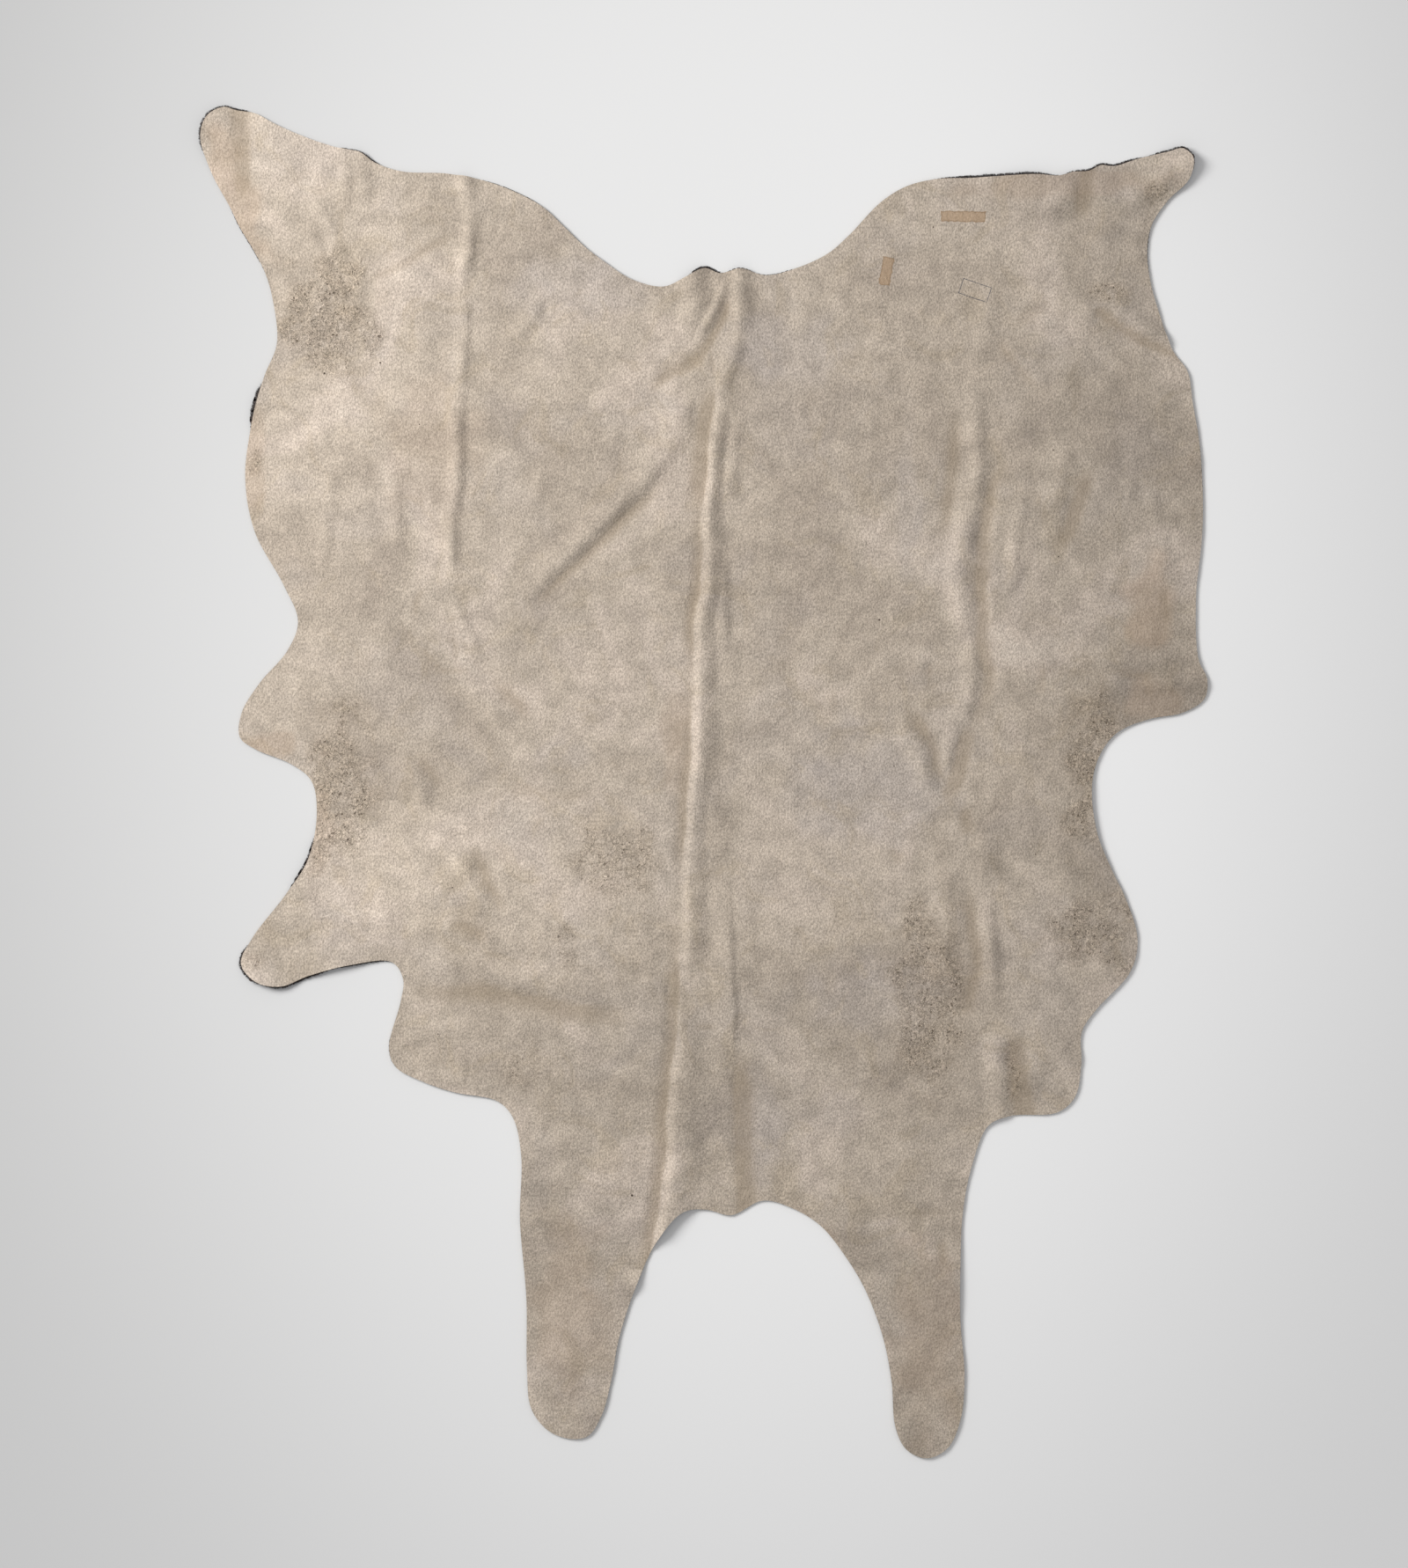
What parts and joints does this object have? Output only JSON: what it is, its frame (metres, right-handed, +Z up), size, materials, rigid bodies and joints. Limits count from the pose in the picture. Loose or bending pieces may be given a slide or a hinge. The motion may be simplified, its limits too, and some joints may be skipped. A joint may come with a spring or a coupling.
{
  "type": "cowhide rug",
  "caption": "Whole cowhide rug laid hair side down, its suede flesh side up, with leg flaps, folds and puckers along the spine.",
  "frame": {"origin": "middle of the hide's bounding box, on the floor it lies on", "axes": "+Z up from the floor, +Y along the spine towards the tail end, +X to the right seen from above"},
  "size_m": [1.7128, 2.2998, 0.0158],
  "materials": {
    "suede": "matte brushed flesh side, dry and napped",
    "hair": "short dense near-black cattle hair with a soft sheen"
  },
  "bodies": {
    "root": {"cowhide": "suede"}
  },
  "joints": []
}
